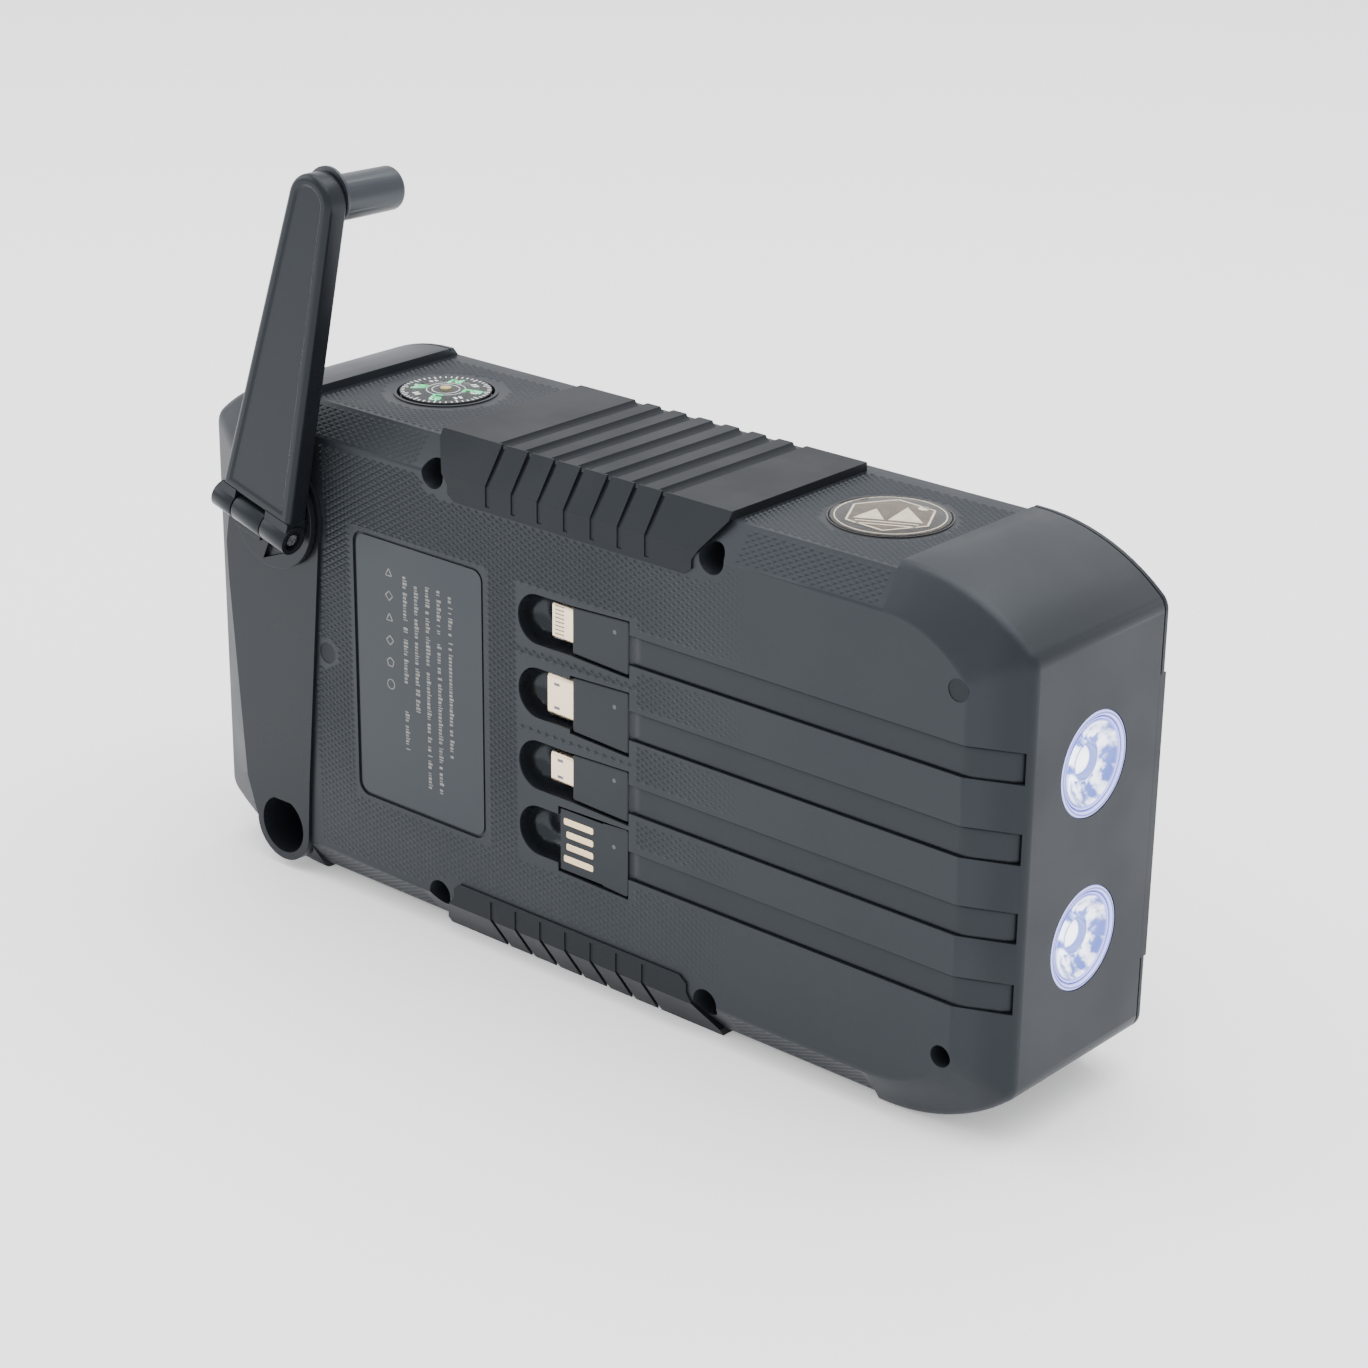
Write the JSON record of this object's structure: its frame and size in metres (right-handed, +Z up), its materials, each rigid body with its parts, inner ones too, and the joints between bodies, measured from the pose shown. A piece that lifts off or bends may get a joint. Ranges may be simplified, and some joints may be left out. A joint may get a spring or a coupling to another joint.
{
  "type": "hand-crank emergency power unit",
  "caption": "Rugged hand-crank emergency power unit with folding crank, torches in one end, built-in charging leads, compass, rubber grips and a solar panel.",
  "frame": {"origin": "centre of the underside of the body, on the flat faces of the bottom grip and end bumpers that it stands on", "axes": "+X along the body to the torch end, +Y from the cable face to the solar face, +Z up"},
  "size_m": [0.184, 0.0521, 0.1368],
  "materials": {
    "black_plastic": "matte black moulded ABS, diamond knurled on the sides",
    "crank_plastic": "satin black moulded ABS",
    "grip_rubber": "soft black rubber",
    "lead_rubber": "satin black flexible jacket",
    "seal_rubber": "black seal",
    "label_film": "dark printed film",
    "badge_print": "dark and tan print",
    "clear_resin": "clear dome",
    "dial_card": "dark card with green and white marks",
    "clear_lens": "clear moulded lens",
    "reflector_metal": "bright aluminised",
    "circuit_board": "green board",
    "electronics": "black chips",
    "led": "white emitter",
    "cell_foil": "foil pouch, filled",
    "solar_glass": "dark blue cells under a clear layer",
    "plug_plastic": "satin black",
    "plug_metal": "warm nickel plated shell",
    "contact_gold": "gold plated contacts",
    "port_metal": "stamped steel",
    "steel": "plated steel",
    "gear_plastic": "natural acetal",
    "bush_brass": "sintered bush",
    "magnet": "ferrite magnet on its shaft",
    "copper_coil": "enamelled copper wire",
    "gearbox_plate": "filled nylon plate",
    "light_pipe": "translucent pipe"
  },
  "bodies": {
    "case": {"case_shell": "black_plastic", "solar_frame": "black_plastic", "seal_ring": "seal_rubber", "solar_panel": "solar_glass", "grip_top": "grip_rubber", "grip_bottom": "grip_rubber", "rating_label": "label_film", "badge_plate": "badge_print", "badge_dome": "clear_resin", "compass_cup": "black_plastic", "compass_lens": "clear_resin", "torch_lenses": "clear_lens", "torch_reflectors": "reflector_metal", "torch_board": "circuit_board", "torch_leds": "led", "battery_cell_1": "cell_foil", "battery_cell_2": "cell_foil", "battery_cell_3": "cell_foil", "main_board": "circuit_board", "board_parts": "electronics", "charge_lights": "light_pipe", "usb_a_ports": "port_metal", "usb_c_port": "port_metal", "micro_port": "port_metal", "port_board": "circuit_board", "case_screws": "steel", "screw_plugs": "seal_rubber", "crank_bed": "crank_plastic", "crank_bush": "bush_brass", "idler_axle": "steel", "gearbox_front_plate": "gearbox_plate", "gearbox_rear_plate": "gearbox_plate", "generator_can": "steel", "stator_coils": "copper_coil", "gearbox_screw": "steel", "lead_roots": "lead_rubber"},
    "crank": {"crank_rotor": "crank_plastic", "hinge_pin": "steel", "shaft_clip": "steel", "drive_gear": "gear_plastic"},
    "arm": {"crank_arm": "crank_plastic", "crank_knob": "crank_plastic"},
    "idler": {"idler_gear": "gear_plastic"},
    "generator": {"generator_pinion": "gear_plastic", "generator_rotor": "magnet"},
    "compass": {"compass_dial": "dial_card"},
    "button": {"power_button": "grip_rubber"},
    "flap": {"port_flap": "grip_rubber"},
    "phone_cable": {"phone_lead": "lead_rubber", "phone_plug": "plug_plastic", "phone_tip": "plug_metal"},
    "usb_c_cable": {"usb_c_lead": "lead_rubber", "usb_c_plug": "plug_plastic", "usb_c_tip": "plug_metal"},
    "micro_cable": {"micro_lead": "lead_rubber", "micro_plug": "plug_plastic", "micro_tip": "plug_metal"},
    "usb_a_cable": {"usb_a_lead": "lead_rubber", "usb_a_plug": "plug_plastic", "usb_a_tip": "contact_gold"}
  },
  "joints": [
    {"name": "crank_spin", "type": "hinge", "parent": "case", "child": "crank", "pos_m": [-0.0707, -0.022, 0.0713], "axis": [0, 1, 0], "range_deg": [-150, 35]},
    {"name": "crank_fold", "type": "hinge", "parent": "crank", "child": "arm", "pos_m": [-0.0707, -0.027, 0.0713], "axis": [0.9659, 0, -0.2588], "range_deg": [0, 180]},
    {"name": "idler_spin", "type": "hinge", "parent": "case", "child": "idler", "pos_m": [-0.05615, -0.007, 0.0629], "axis": [0, 1, 0], "range_deg": [-90, 376]},
    {"name": "generator_spin", "type": "hinge", "parent": "case", "child": "generator", "pos_m": [-0.05615, -0.007, 0.0461], "axis": [0, 1, 0], "range_deg": [-940, 220]},
    {"name": "compass_spin", "type": "hinge", "parent": "case", "child": "compass", "pos_m": [-0.0506, 0.001, 0.0892], "axis": [0, 0, 1], "continuous": true},
    {"name": "power_button_press", "type": "slide", "parent": "case", "child": "button", "axis": [0, -1, 0], "range_m": [0, 0.0008], "stiffness_N_per_m": 400},
    {"name": "port_flap_hinge", "type": "hinge", "parent": "case", "child": "flap", "pos_m": [-0.0911, 0.0085, 0.04], "axis": [0, 0, -1], "range_deg": [0, 100]},
    {"name": "phone_lead_bend", "type": "hinge", "parent": "case", "child": "phone_cable", "pos_m": [0.0806, -0.01975, 0.0665], "axis": [0, 0, 1], "range_deg": [0, 90]},
    {"name": "usb_c_lead_bend", "type": "hinge", "parent": "case", "child": "usb_c_cable", "pos_m": [0.0806, -0.01975, 0.0531], "axis": [0, 0, 1], "range_deg": [0, 90]},
    {"name": "micro_lead_bend", "type": "hinge", "parent": "case", "child": "micro_cable", "pos_m": [0.0806, -0.01975, 0.0397], "axis": [0, 0, 1], "range_deg": [0, 90]},
    {"name": "usb_a_lead_bend", "type": "hinge", "parent": "case", "child": "usb_a_cable", "pos_m": [0.0806, -0.01975, 0.0274], "axis": [0, 0, 1], "range_deg": [0, 90]}
  ],
  "couplings": [
    {"joint": "idler_spin", "follows": "crank_spin", "ratio": -2.5},
    {"joint": "generator_spin", "follows": "crank_spin", "ratio": 6.25}
  ]
}
